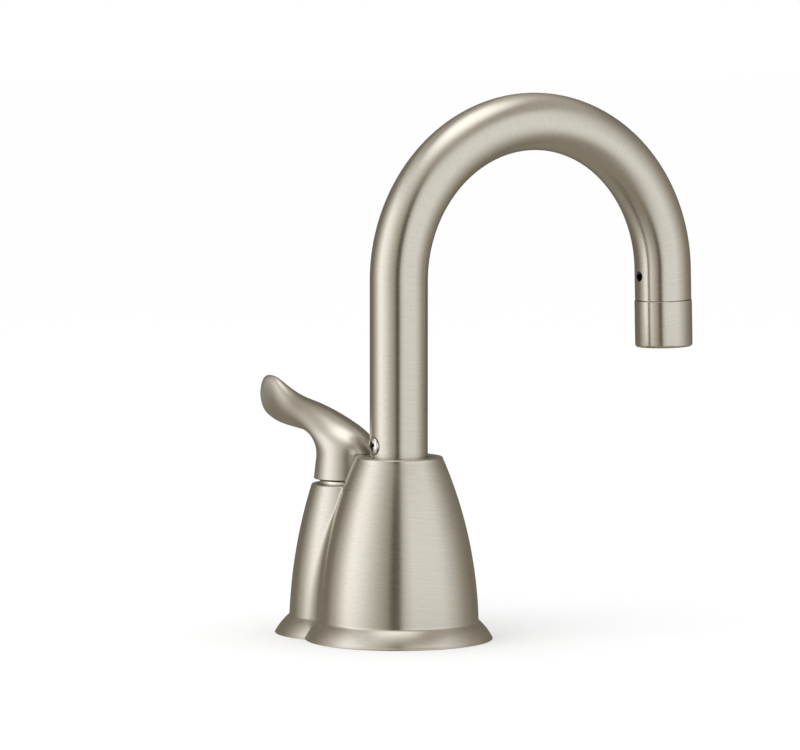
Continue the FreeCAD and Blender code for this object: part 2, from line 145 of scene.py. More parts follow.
def brushed_nickel():
    """Nickel plate brushed round the piece with fine abrasive: a warm grey sheen that smears along the
    axis and fine streaks across it. The scratches are finer than a pixel, so they are drawn wider."""
    streak_wide = 0.3 * MM
    streak_long = 2.3 * MM
    material, tree = new_material("brushed_nickel_plate")
    along = add(tree, "ShaderNodeAttribute", attribute_name="along")
    place = add(tree, "ShaderNodeTexCoord")
    across = add(tree, "ShaderNodeVectorMath", {0: place.outputs["Object"], "Scale": 1 / streak_long},
                 operation="SCALE")
    rise = add(tree, "ShaderNodeMath", {0: along.outputs["Fac"], 1: 1 / streak_wide}, operation="MULTIPLY")
    lift = add(tree, "ShaderNodeCombineXYZ", {"X": rise.outputs[0]})
    spot = add(tree, "ShaderNodeVectorMath", {0: across.outputs[0], 1: lift.outputs[0]}, operation="ADD")
    streaks = add(tree, "ShaderNodeTexNoise", {"Vector": spot.outputs[0], "Scale": 1.0, "Detail": 3.0,
                                               "Roughness": 0.6})
    tone = add(tree, "ShaderNodeMix", {"Factor": streaks.outputs["Fac"], "A": srgb("#BFBBB0"),
                                       "B": srgb("#D5D1C6")}, data_type="RGBA")
    gloss = add(tree, "ShaderNodeMapRange", {"Value": streaks.outputs["Fac"], "To Min": 0.23,
                                             "To Max": 0.29})
    bump = add(tree, "ShaderNodeBump", {"Height": streaks.outputs["Fac"], "Strength": 0.2,
                                        "Distance": 0.02 * MM})
    tangent = add(tree, "ShaderNodeTangent", direction_type="UV_MAP", uv_map="brush")
    shader = add(tree, "ShaderNodeBsdfPrincipled", {
        "Base Color": tone.outputs["Result"], "Metallic": 1.0, "Roughness": gloss.outputs["Result"],
        "Anisotropic": 0.8, "Normal": bump.outputs["Normal"], "Tangent": tangent.outputs["Tangent"]})
    add(tree, "ShaderNodeOutputMaterial", {"Surface": shader.outputs["BSDF"]})
    return material


def grained_material(name, colours, metallic, roughness, grain, strength,
                     octaves=3.0, fade=0.6, deep=0.03 * MM):
    """Material with a fine grain that shifts its colour, gloss and surface a little."""
    material, tree = new_material(name)
    place = add(tree, "ShaderNodeTexCoord")
    noise = add(tree, "ShaderNodeTexNoise", {"Vector": place.outputs["Object"], "Scale": 1 / grain,
                                             "Detail": octaves, "Roughness": fade})
    tone = add(tree, "ShaderNodeMix", {"Factor": noise.outputs["Fac"], "A": srgb(colours[0]),
                                       "B": srgb(colours[1])}, data_type="RGBA")
    gloss = add(tree, "ShaderNodeMapRange", {"Value": noise.outputs["Fac"], "To Min": roughness[0],
                                             "To Max": roughness[1]})
    bump = add(tree, "ShaderNodeBump", {"Height": noise.outputs["Fac"], "Strength": strength,
                                        "Distance": deep})
    shader = add(tree, "ShaderNodeBsdfPrincipled", {
        "Base Color": tone.outputs["Result"], "Metallic": metallic, "Roughness": gloss.outputs["Result"],
        "Normal": bump.outputs["Normal"]})
    add(tree, "ShaderNodeOutputMaterial", {"Surface": shader.outputs["BSDF"]})
    return material


def screw_steel():
    """Bright zinc plate on a small cold-headed screw, cleaner and colder than the nickel, with painted shade
    down in the recess: a dull brown, rougher finish that stands in for the shadow there."""
    grain = 0.3 * MM
    material, tree = new_material("bright_plated_steel")
    place = add(tree, "ShaderNodeTexCoord")
    depth = add(tree, "ShaderNodeAttribute", attribute_name="recess")
    noise = add(tree, "ShaderNodeTexNoise", {"Vector": place.outputs["Object"], "Scale": 1 / grain,
                                             "Detail": 3.0, "Roughness": 0.6})
    clean = add(tree, "ShaderNodeMix", {"Factor": noise.outputs["Fac"], "A": srgb("#CFCDC8"),
                                        "B": srgb("#DAD8D3")}, data_type="RGBA")
    # Painted shade: the recess is mixed towards dull brown and made rougher, standing in for its shadow
    share = add(tree, "ShaderNodeMapRange", {"Value": depth.outputs["Fac"], "From Min": 0.02,
                                             "From Max": 0.25})
    tone = add(tree, "ShaderNodeMix", {"Factor": share.outputs["Result"], "A": clean.outputs["Result"],
                                       "B": srgb("#4A3A30")}, data_type="RGBA")
    gloss = add(tree, "ShaderNodeMapRange", {"Value": share.outputs["Result"], "To Min": 0.15,
                                             "To Max": 0.5})
    shader = add(tree, "ShaderNodeBsdfPrincipled", {
        "Base Color": tone.outputs["Result"], "Metallic": 1.0, "Roughness": gloss.outputs["Result"]})
    add(tree, "ShaderNodeOutputMaterial", {"Surface": shader.outputs["BSDF"]})
    return material


finishes = {
    "brushed_nickel": brushed_nickel(),
    # Nickel plate on a hand-polished casting, rubbed to a satin: an even soft sheen with a faint grain
    "satin_nickel": grained_material("satin_nickel_plate", ("#C8C4B9", "#CECABF"), 1.0, (0.26, 0.31),
                                     0.35 * MM, 0.06, octaves=2.0, fade=0.5, deep=0.01 * MM),
    # Buffed nickel plate, a clear mirror that is a little warm
    "polished_nickel": grained_material("polished_nickel_plate", ("#D9D4C9", "#DDD8CE"), 1.0, (0.08, 0.12),
                                        0.8 * MM, 0.02),
    "screw_steel": screw_steel(),
    # Turned brass straight from the lathe, yellow with a soft cut
    "brass": grained_material("turned_brass", ("#C9A75A", "#D6B66C"), 1.0, (0.24, 0.36), 0.5 * MM, 0.12),
    # Zinc plated pressed steel, grey and a little cloudy
    "zinc_steel": grained_material("zinc_plated_steel", ("#A9ABAC", "#BDBFC0"), 1.0, (0.34, 0.46),
                                   1.5 * MM, 0.1),
    # Moulded black rubber, matt with a fine bloom
    "seal_rubber": grained_material("moulded_black_rubber", ("#1B1B1B", "#262626"), 0.0, (0.6, 0.75),
                                    0.4 * MM, 0.3),
    # Moulded natural nylon, milky with a low gloss
    "nylon": grained_material("moulded_nylon", ("#E0DACA", "#E7E2D4"), 0.0, (0.4, 0.5), 1.0 * MM, 0.1),
    # Moulded white acetal, dense and slightly waxy
    "acetal": grained_material("moulded_white_acetal", ("#D9D9D5", "#E0E0DC"), 0.0, (0.34, 0.44),
                               1.0 * MM, 0.08),
    # Lapped alumina ceramic, ivory and very even
    "ceramic": grained_material("lapped_alumina", ("#E9E3D6", "#EEE9DE"), 0.0, (0.18, 0.26),
                                0.6 * MM, 0.03),
}


# Mesh helpers

def link(name, data):
    """New object in the scene with given data."""
    made = bpy.data.objects.new(name, data)
    bpy.context.scene.collection.objects.link(made)
    return made


def link_mesh(name, points, faces):
    """New object with its mesh, closed at seams and poles and with its faces outwards."""
    mesh = bpy.data.meshes.new(name)
    mesh.from_pydata(points, [], faces)
    made = link(name, mesh)
    tidy_mesh(made)
    return made


def tidy_mesh(piece):
    """Merges doubles, drops faces with no area and turns all faces outwards."""
    same_within = 0.0005 * MM
    shape = bmesh.new()
    shape.from_mesh(piece.data)
    bmesh.ops.remove_doubles(shape, verts=shape.verts, dist=same_within)
    bmesh.ops.dissolve_degenerate(shape, edges=shape.edges, dist=same_within)
    bmesh.ops.recalc_face_normals(shape, faces=shape.faces)
    shape.to_mesh(piece.data)
    shape.free()


def shade(piece, sharp_deg=32):
    """Smooth shading that keeps edges sharp above an angle."""
    piece.data.shade_smooth()
    piece.data.set_sharp_from_angle(angle=math.radians(sharp_deg))


def skin(name, rows, closed):
    """Quads between rings of equal count, and from the last ring to the first where it is closed."""
    count = len(rows[0])
    points = [point for row in rows for point in row]
    faces = []
    for n in range(len(rows) if closed else len(rows) - 1):
        start = n * count
        after = (n + 1) % len(rows) * count
        for m in range(count):
            k = (m + 1) % count
            faces.append((start + m, start + k, after + k, after + m))
    return link_mesh(name, points, faces)


def rounded(corners, steps=6):
    """Profile points from corners of radius, height and rounding."""
    profile = []
    for n, (r, z, rounding) in enumerate(corners):
        corner = Vector((r, z))
        before = Vector(corners[n - 1][:2]) - corner
        after = Vector(corners[(n + 1) % len(corners)][:2]) - corner
        if rounding == 0:
            profile.append(corner)
            continue
        half = before.angle(after) / 2
        reach = rounding / math.tan(half)
        middle = (before.normalized() + after.normalized()).normalized()
        centre = corner + middle * rounding / math.sin(half)
        start = corner + before.normalized() * reach - centre
        end = corner + after.normalized() * reach - centre
        swing = start.angle_signed(end)
        for step in range(steps + 1):
            profile.append(centre + Matrix.Rotation(-swing * step / steps, 2) @ start)
    return profile


def turned(name, profile, steps=96, closed=True):
    """Piece turned about the upright axis from a profile of radius and height."""
    rows = []
    for point in profile:
        angles = [TURN * n / steps for n in range(steps)]
        rows.append([(point[0] * math.cos(a), point[0] * math.sin(a), point[1]) for a in angles])
    return skin(name, rows, closed)


def place(piece, matrix):
    """Puts a piece's place into its mesh."""
    piece.data.transform(matrix)
    return piece


def bake(piece):
    """Turns what the modifiers give into the piece's own mesh."""
    depsgraph = bpy.context.evaluated_depsgraph_get()
    mesh = bpy.data.meshes.new_from_object(piece.evaluated_get(depsgraph))
    piece.modifiers.clear()
    piece.data = mesh
    return piece


def carve(piece, cutter, operation="DIFFERENCE"):
    """Cuts a piece with another, which is then removed."""
    cut = piece.modifiers.new("cut", "BOOLEAN")
    cut.operation = operation
    cut.object = cutter
    cut.solver = "EXACT"
    bake(piece)
    bpy.data.objects.remove(cutter)
    return piece


def mark_brush(piece, along):
    """Stores how far along the brushed axis each point lies, as an attribute and as the first
    UV direction."""
    mesh = piece.data
    values = [along(vertex.co) for vertex in mesh.vertices]
    mesh.attributes.new("along", "FLOAT", "POINT").data.foreach_set("value", values)
    layer = mesh.uv_layers.get("brush") or mesh.uv_layers.new(name="brush")
    for loop in mesh.loops:
        point = mesh.vertices[loop.vertex_index].co
        layer.data[loop.index].uv = (values[loop.vertex_index], point.x - point.y)


def finish_piece(piece, finish, slot, body, *nodes):
    """Gives a piece its finish and its body, and hides the solids that it stands for."""
    piece.data.materials.clear()
    piece.data.materials.append(finishes[finish])
    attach(piece, body)
    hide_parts(*nodes)


# Base: two bells with a rounded valley, one closed shell

def wall_arc(low, high, bulge):
    """Radius by height along an arc that swells outwards from its chord."""
    run = Vector(high) - Vector(low)
    out = Vector((run.y, -run.x)).normalized()
    arc_r = (run.length ** 2 / 4 + bulge ** 2) / (2 * bulge)
    centre = (Vector(low) + Vector(high)) / 2 + out * (bulge - arc_r)
    return lambda z: centre.x + math.sqrt(arc_r ** 2 - (z - centre.y) ** 2)


def outside_of(bell):
    """Outer radius of a bell by height: lip, flare, crease, swelling wall and rounded rim."""
    rim_z = bell["top"] - rim_round
    wall = wall_arc((bell["foot_r"], crease_z), (bell["top_r"], rim_z), bell["bulge"])
    flare_arc = wall_arc((bell["flange"] - lip_round, lip_z), (bell["foot_r"], crease_z), flare_bulge)
    lip_arc = (lip_round ** 2 + lip_z ** 2 / 4) / (2 * lip_round)

    def radius(z):
        if z <= lip_z:
            return bell["flange"] - lip_arc + math.sqrt(lip_arc ** 2 - (z - lip_z / 2) ** 2)
        if z > rim_z:
            return bell["top_r"] - rim_round + math.sqrt(max(0, rim_round ** 2 - (z - rim_z) ** 2))
        if z > crease_z + crease_round:
            return wall(z)
        flare = flare_arc(z)
        near = max(0, crease_round - abs(wall(z) - flare)) / crease_round
        return max(wall(z), flare) + near ** 2 * crease_round / 4

    return radius


def inside_of(bell):
    """Inner radius of a bell by height."""
    foot = bell["foot_r"] - bell_wall
    wall = wall_arc((foot, crease_z), (bell["top_r"] - bell_wall, bell["top"] - top_wall), bell["bulge"])
    return lambda z: foot if z <= crease_z else wall(z)


def valley_round(z):
    """Radius of the rounding in the valley between the bells, by height."""
    if z >= valley_top_z:
        return valley_top_round
    if z >= crease_z:
        share = (valley_top_z - z) / (valley_top_z - crease_z)
        return valley_top_round + share * (valley_foot_round - valley_top_round)
    share = max(0, (z - valley_end_z) / (crease_z - valley_end_z))
    return valley_end_round + share * (valley_foot_round - valley_end_round)


def spread(low, high, count, ease=False):
    """Values from low to high, closer together towards the high end where eased."""
    shares = [n / count for n in range(count + 1)]
    return [low + (high - low) * (math.sin(s * math.pi / 2) if ease else s) for s in shares]


# Points of the base's rings, and rings from its foot to its top and back down inside
main_steps = 120
side_steps = 64
valley_steps = 14
pocket_steps = side_steps + 2 * valley_steps + 4
round_steps = 8
flare_steps = 10
crease_steps = 12
wall_steps = 48
neck_steps = 12
ceiling_steps = 6
inside_steps = 24


def crossing(main_r, other_r):
    """Angle from the valve's direction at which a circle about the valve crosses one about the
    main axis."""
    return math.acos((main_r ** 2 + valve_offset ** 2 - other_r ** 2) / (2 * main_r * valve_offset))


def to_frame(ring, z):
    """Turns a flat ring with the valve along its first axis into the frame, at a height."""
    c, s = math.cos(valve_turn), math.sin(valve_turn)
    return [(x * c - y * s, x * s + y * c, z) for x, y in ring]


def arc_points(centre, radius, start, end, steps):
    """Points of an arc after its first one."""
    angles = [start + (end - start) * n / steps for n in range(1, steps + 1)]
    return [(centre[0] + radius * math.cos(a), centre[1] + radius * math.sin(a)) for a in angles]


def pair_ring(main_r, side_r, fillet, z, edge):
    """Ring round both bells: main arc, rounded valley, side arc and the other rounded valley.
    The edge is the angle from each valley to the main arc's next point."""
    turn = crossing(main_r + fillet, side_r + fillet)
    hub = ((main_r + fillet) * math.cos(turn), (main_r + fillet) * math.sin(turn))
    lean = math.atan2(hub[1], hub[0] - valve_offset)
    start = turn + edge
    ring = [(main_r * math.cos(start), main_r * math.sin(start))]
    ring += arc_points((0, 0), main_r, start, TURN - start, main_steps)
    ring += arc_points((0, 0), main_r, TURN - start, TURN - turn, 1)
    ring += arc_points((hub[0], -hub[1]), fillet, math.pi - turn, math.pi - lean, valley_steps)
    ring += arc_points((valve_offset, 0), side_r, -lean, lean, side_steps)
    ring += arc_points(hub, fillet, math.pi + lean, math.pi + turn, valley_steps)
    missing = main_steps + pocket_steps - len(ring)
    ring += arc_points((0, 0), main_r, turn, start, missing + 1)[:-1]
    return to_frame(ring, z)


def notch_ring(main_r, notch_r, z):
    """Ring round the main bell with a round notch for the lever's hub."""
    turn = crossing(main_r, notch_r)
    lean = math.atan2(main_r * math.sin(turn), main_r * math.cos(turn) - valve_offset)
    ring = [(main_r * math.cos(turn), main_r * math.sin(turn))]
    ring += arc_points((0, 0), main_r, turn, TURN - turn, main_steps)
    ring += arc_points((valve_offset, 0), notch_r, TURN - lean, lean, pocket_steps)[:-1]
    return to_frame(ring, z)


def hole_ring(ring, radius, z):
    """Round ring at the angles of another ring."""
    return [(radius * x / math.hypot(x, y), radius * y / math.hypot(x, y), z) for x, y, _ in ring]


def base_shell():
    """Both bells as one hollow casting, with the gasket's groove below and the spout's hole above."""
    main_out, side_out = outside_of(main_bell), outside_of(side_bell)
    main_in, side_in = inside_of(main_bell), inside_of(side_bell)
    side_rim = side_top - rim_round
    main_rim = base_top - rim_round
    ledge = side_top - top_wall
    ceiling = base_top - top_wall
    edge_out = crossing(main_out(side_top), pocket_r)
    edge_out -= crossing(main_out(side_top) + valley_top_round, side_out(side_top) + valley_top_round)
    edge_in = crossing(main_in(ledge), pocket_back_r)
    edge_in -= crossing(main_in(ledge) + inner_round, side_in(ledge) + inner_round)

    heights = spread(0, lip_z, round_steps) + spread(lip_z, crease_z - crease_round, flare_steps)[1:]
    heights += spread(crease_z - crease_round, crease_z + crease_round, crease_steps)[1:]
    heights += spread(crease_z + crease_round, side_rim, wall_steps)[1:]
    heights += spread(side_rim, side_top, round_steps, True)[1:]
    rows = [pair_ring(main_out(z), side_out(z), valley_round(z), z, edge_out) for z in heights]
    upper = spread(side_top, main_rim, neck_steps) + spread(main_rim, base_top, round_steps, True)[1:]
    rows += [notch_ring(main_out(z), pocket_r, z) for z in upper]
    rows += [hole_ring(rows[-1], tube_hole_r, z) for z in (base_top, ceiling)]
    rows += [notch_ring(main_in(z), pocket_back_r, z) for z in spread(ceiling, ledge, ceiling_steps)]
    rows += [pair_ring(main_in(z), side_in(z), inner_round, z, edge_in)
             for z in spread(ledge, crease_z, inside_steps) + [0]]
    for inset, z in ((gasket_inset + gasket_wide, 0), (gasket_inset + gasket_wide, gasket_high),
                     (gasket_inset, gasket_high), (gasket_inset, 0)):
        main_r = main_bell["flange"] - inset
        side_r = side_bell["flange"] - inset
        rows.append(pair_ring(main_r, side_r, inner_round, z, edge_in))
    return skin("base_shell", rows, True)


def socket_web():
    """Web and ribs inside the base that hold the shank, as the solid has them."""
    source = frame["nodes"]["base_body"]
    web = link("socket_web", source.data.copy())
    tidy_mesh(web)
    limit = [(0, -MM), (web_reach, -MM), (web_reach, web_top), (0, web_top)]
    carve(web, turned("web_limit", limit, closed=False), "INTERSECT")
    tidy_mesh(web)
    return web


base = base_shell()
shade(base)
mark_brush(base, lambda point: point.z)
finish_piece(base, "brushed_nickel", "satin_nickel", "base", "base_body")
web = socket_web()
shade(web)
finish_piece(web, "satin_nickel", "satin_nickel", "base", "base_body")


# Spout: a tube swept along leg, arch and tail

def spout_point(length):
    """Point on the spout's centre line at a length from the deck."""
    if length <= arch_z:
        return Vector((0, 0, length))
    angle = min((length - arch_z) / arch_r, arch_sweep)
    rest = length - arch_z - angle * arch_r
    on_arch = Vector((arch_r * (1 - math.cos(angle)), 0, arch_z + arch_r * math.sin(angle)))
    return on_arch + rest * Vector((math.sin(angle), 0, math.cos(angle)))


def spout_length(point):
    """Length along the spout's centre line nearest to a point."""
    angle = math.atan2(point.z - arch_z, arch_r - point.x)
    if point.x < arch_r and point.z < arch_z:
        return point.z
    if angle < 0:
        angle += TURN
    if angle <= arch_sweep:
        return arch_z + arch_r * angle
    end = spout_point(arch_z + arch_r * arch_sweep)
    way = Vector((math.sin(arch_sweep), 0, math.cos(arch_sweep)))
    return arch_z + arch_r * arch_sweep + (point - end).dot(way)


spout_end = arch_z + arch_r * arch_sweep + tail_length
outlet_way = (spout_point(spout_end) - spout_point(spout_end - MM)).normalized()


def sweep_tree():
    """Node tree that sweeps a round section along a path."""
    tree = bpy.data.node_groups.new("tube_along_path", "GeometryNodeTree")
    for name, kind in (("Path", "NodeSocketGeometry"), ("Tube radius", "NodeSocketFloat"),
                       ("Sides", "NodeSocketInt"), ("Finish", "NodeSocketMaterial")):
        tree.interface.new_socket(name, in_out="INPUT", socket_type=kind)
    tree.interface.new_socket("Tube", in_out="OUTPUT", socket_type="NodeSocketGeometry")
    given = add(tree, "NodeGroupInput").outputs
    section = add(tree, "GeometryNodeCurvePrimitiveCircle", {"Resolution": given["Sides"],
                                                            "Radius": given["Tube radius"]})
    swept = add(tree, "GeometryNodeCurveToMesh", {"Curve": given["Path"],
                                                  "Profile Curve": section.outputs["Curve"]})
    whole = add(tree, "GeometryNodeRealizeInstances", {"Geometry": swept.outputs["Mesh"]})
    dressed = add(tree, "GeometryNodeSetMaterial", {"Geometry": whole.outputs["Geometry"],
                                                    "Material": given["Finish"]})
    add(tree, "NodeGroupOutput", {"Tube": dressed.outputs["Geometry"]})
    return tree


def run_tree(piece, tree, values):
    """Runs a node tree on a piece and keeps the result as a plain mesh object of the same name."""
    modifier = piece.modifiers.new(tree.name, "NODES")
    modifier.node_group = tree
    for item in tree.interface.items_tree:
        if item.in_out == "INPUT" and item.name in values:
            modifier[item.identifier] = values[item.name]
    depsgraph = bpy.context.evaluated_depsgraph_get()
    mesh = bpy.data.meshes.new_from_object(piece.evaluated_get(depsgraph))
    name = piece.name
    bpy.data.objects.remove(piece)
    return link(name, mesh)


def gooseneck():
    """Spout tube with a real wall, the vent hole, and the screw's seat and hole."""
    leg_steps = 40
    arch_steps = 132
    tail_steps = 8
    path = bpy.data.curves.new("gooseneck", "CURVE")
    path.dimensions = "3D"
    stations = spread(tube_foot, arch_z, leg_steps)
    stations += spread(arch_z, spout_end - tail_length, arch_steps)[1:]
    stations += spread(spout_end - tail_length, spout_end, tail_steps)[1:]
    line = path.splines.new("POLY")
    line.points.add(len(stations) - 1)
    for point, station in zip(line.points, stations):
        point.co = (*spout_point(station), 1)
    tube = run_tree(link("gooseneck", path), sweep_tree(), {"Tube radius": tube_r, "Sides": 96,
                                                            "Finish": finishes["brushed_nickel"]})
    tidy_mesh(tube)
    wall = tube.modifiers.new("wall", "SOLIDIFY")
    wall.thickness = tube_wall
    wall.offset = -1
    wall.use_even_offset = True
    bake(tube)
    screw_at = spout_point(screw_z)
    vent_at = spout_point(spout_end - vent_up)
    for name, at, near, radius, steps in (("seat", screw_at, tube_r - screw_seat_deep, screw_seat_r, 64),
                                          ("hole", screw_at, 0, screw_stem_r, 48),
                                          ("vent", vent_at, 0, vent_r, 48)):
        drill = [(0, near), (radius, near), (radius, 2 * tube_r), (0, 2 * tube_r)]
        carve(tube, place(turned(name, drill, steps, False), Matrix.Translation(at) @ aim_left))
    tidy_mesh(tube)
    return tube


neck = gooseneck()
shade(neck)
mark_brush(neck, spout_length)
finish_piece(neck, "brushed_nickel", "satin_nickel", "spout", "spout_tube")


def outlet_collar():
    """Collar below the seam, with a rounded lower edge and its spigot inside the tube. Its bore runs
    from a lip below the flow straightener to a shoulder above the straightener's seal."""
    collar_r = tube_r + 0.2 * MM
    foot = -seam_gap - 16.8 * MM
    bore_r = collar_r - 1.8 * MM
    lip_r = bore_r - 1.2 * MM
    lip_high = foot + 0.3 * MM
    shoulder = foot + 9.9 * MM
    spigot_r = tube_r - tube_wall
    spigot_bore_r = spigot_r - 0.9 * MM
    spigot_high = 6.0 * MM
    profile = rounded([
        (spigot_bore_r, spigot_high, 0), (spigot_r, spigot_high, 0.2 * MM), (spigot_r, -seam_gap, 0),
        (collar_r, -seam_gap, 0.25 * MM), (collar_r, foot, 1.1 * MM), (lip_r, foot, 0.1 * MM),
        (lip_r, lip_high, 0), (bore_r, lip_high, 0), (bore_r, shoulder, 0), (spigot_bore_r, shoulder, 0),
    ])
    lean = Matrix.Rotation(arch_sweep - math.pi, 4, "Y")
    return place(turned("spout_collar", profile), Matrix.Translation(spout_point(spout_end)) @ lean)


collar = outlet_collar()
shade(collar)
mark_brush(collar, lambda point: spout_end + (point - spout_point(spout_end)).dot(outlet_way))
finish_piece(collar, "brushed_nickel", "satin_nickel", "spout", "outlet_collar")


def cross_screw():
    """Pan-head screw with a tapered cross recess, its head facing backwards on the leg."""
    seat = tube_r - screw_seat_deep
    tip = seat - 2.0 * MM
    head = seat + 1.5 * MM
    shoulder = head - 0.5 * MM
    crown_r = 1.7 * MM
    recess_r = 1.6 * MM
    recess_low = seat - 0.5 * MM
    profile = rounded([
        (0, tip, 0), (screw_stem_r, tip, 0.2 * MM), (screw_stem_r, seat, 0), (screw_head_r, seat, 0.1 * MM),
        (screw_head_r, shoulder, 0.45 * MM), (crown_r, head, 0.9 * MM), (0, head, 0),
    ])
    screw = turned("cross_screw", profile, 64, False)
    for turn in (0, math.pi / 2):
        wing = tapered_wing(head)
        carve(screw, place(wing, Matrix.Rotation(turn, 4, "Z")))
    tidy_mesh(screw)
    # Marks the recess, where the screw's finish paints shade
    recess_shade_marks = screw.data.attributes.new("recess", "FLOAT", "POINT")
    for vertex in screw.data.vertices:
        inside = vertex.co.xy.length < recess_r and recess_low < vertex.co.z < shoulder
        recess_shade_marks.data[vertex.index].value = 1.0 if inside else 0.0
    turned_left = aim_left @ Matrix.Rotation(screw_turn, 4, "Z")
    return place(screw, Matrix.Translation(spout_point(screw_z)) @ turned_left)


def tapered_wing(head):
    """One bar of the cross recess, narrower and shorter towards its floor."""
    floor = head - 1.6 * MM
    brim = head + 0.3 * MM
    floor_half = (1.0 * MM, 0.4 * MM)
    brim_half = (2.0 * MM, 0.65 * MM)
    rows = [[(0, 0, floor)] * 4]
    for (x, y), z in ((floor_half, floor), (brim_half, brim)):
        rows.append([(x, y, z), (-x, y, z), (-x, -y, z), (x, -y, z)])
    rows.append([(0, 0, brim)] * 4)
    return skin("recess", rows, False)


screw = cross_screw()
shade(screw)
finish_piece(screw, "screw_steel", "screw_steel", "spout", "spout_screw")


# Lever: hub and blade as one smooth form, in millimetres
hub_foot_r = 12.1
hub_waist_r = 11.2
hub_waist_up = 8.0
hub_edge_up = 0.3
hub_steps = 4
lever_steps = 130
lever_sides = 96
# Rings that close the hub's foot, as shares of its radius
foot_shares = (0.0, 0.42, 0.97)
# Each station above the hub: the lower and the upper edge as reach from the valve's axis and height
# above the hub's foot, then half the thickness, and how far it gathers towards the upper edge
lever_stations = (
    ((11.5, 10.5), (-11.2, 9.8), 11.1, 0.0),
    ((12.5, 13.3), (-8.8, 14.0), 10.6, -0.1),
    ((15.3, 15.2), (2.0, 20.8), 9.2, -0.15),
    ((21.0, 16.0), (16.6, 26.0), 7.0, 0.0),
    ((27.4, 16.7), (25.2, 28.3), 5.2, 0.1),
    ((33.7, 17.7), (32.2, 31.6), 3.6, 0.2),
    ((39.2, 19.6), (38.0, 34.3), 2.1, 0.3),
    ((42.6, 22.1), (42.0, 33.7), 1.2, 0.3),
    ((44.0, 25.8), (43.8, 30.2), 0.6, 0.0),
    ((44.3, 28.0), (44.3, 28.0), 0.0, 0.0),
)


def smooth_through(values, places, samples):
    """Values of a natural cubic spline through given values at given places."""
    count = len(values)
    second = [0.0] * count
    slope = [0.0] * count
    for n in range(1, count - 1):
        share = (places[n] - places[n - 1]) / (places[n + 1] - places[n - 1])
        scale = share * second[n - 1] + 2
        second[n] = (share - 1) / scale
        rise = (values[n + 1] - values[n]) / (places[n + 1] - places[n])
        rise -= (values[n] - values[n - 1]) / (places[n] - places[n - 1])
        slope[n] = (6 * rise / (places[n + 1] - places[n - 1]) - share * slope[n - 1]) / scale
    for n in range(count - 2, -1, -1):
        second[n] = second[n] * second[n + 1] + slope[n]
    result = []
    for at in samples:
        n = max(k for k in range(count - 1) if places[k] <= at or k == 0)
        width = places[n + 1] - places[n]
        a = (places[n + 1] - at) / width
        b = (at - places[n]) / width
        bend = ((a ** 3 - a) * second[n] + (b ** 3 - b) * second[n + 1]) * width ** 2 / 6
        result.append(a * values[n] + b * values[n + 1] + bend)
    return result


def lever_blade():
    """Closed smooth form from the hub's foot to the blade's rounded tip."""
    stations = []
    for step in range(hub_steps + 1):
        share = step / hub_steps
        radius = hub_foot_r + (hub_waist_r - hub_foot_r) * share
        stations.append(((radius, hub_waist_up * share), (-radius, hub_waist_up * share), radius, 0))
    stations += lever_stations
    places = [0.0]
    for before, after in zip(stations, stations[1:]):
        run = (Vector(after[0]) - Vector(before[0])).length + (Vector(after[1]) - Vector(before[1])).length
        places.append(places[-1] + run)
    samples = spread(0, places[-1], lever_steps)
    values = [(*low, *high, thick, gather) for low, high, thick, gather in stations]
    columns = [smooth_through(column, places, samples) for column in zip(*values)]
    rows = []
    for low_x, low_z, high_x, high_z, thick, gather in zip(*columns):
        rows.append(oval((low_x, low_z), (high_x, high_z), thick, gather))
    foot = rows[0]
    edge = [[(x * share, y * share, z) for x, y, z in foot] for share in foot_shares]
    lifted = [(x, y, z + hub_edge_up) for x, y, z in foot]
    rows = edge + [lifted] + rows[2:]
    lever = skin("lever", [[Vector(p) * MM for p in row] for row in rows], False)
    turn = Matrix.Rotation(valve_turn, 4, "Z")
    return place(lever, Matrix.Translation(valve_at) @ turn)


def oval(low, high, thick, gather):
    """Oval between a lower and an upper edge, in the blade's upright plane, with a half thickness
    that gathers towards the upper edge."""
    ring = []
    for n in range(lever_sides):
        rise = -math.cos(TURN * n / lever_sides)
        across = thick * math.sin(TURN * n / lever_sides) * (1 + gather * rise)
        along = [(a + b) / 2 + (b - a) / 2 * rise for a, b in zip(low, high)]
        ring.append((along[0], across, along[1]))
    return ring


lever = lever_blade()
shade(lever)
finish_piece(lever, "satin_nickel", "satin_nickel", "lever", "lever_handle")


def neck_ring():
    """Polished ring between the side bell and the hub, with eased edges."""
    low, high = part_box("neck_ring")
    bore_r = 8.5 * MM
    outer = (high.x - low.x) / 2
    profile = rounded([(bore_r, low.z, 0), (outer, low.z, 0.15 * MM), (outer, high.z, 0.25 * MM),
                       (bore_r, high.z, 0)])
    return place(turned("polished_ring", profile), Matrix.Translation((valve_at.x, valve_at.y, 0)))


ring = neck_ring()
shade(ring)
finish_piece(ring, "polished_nickel", "polished_nickel", "base", "neck_ring")


# Clamp under the deck

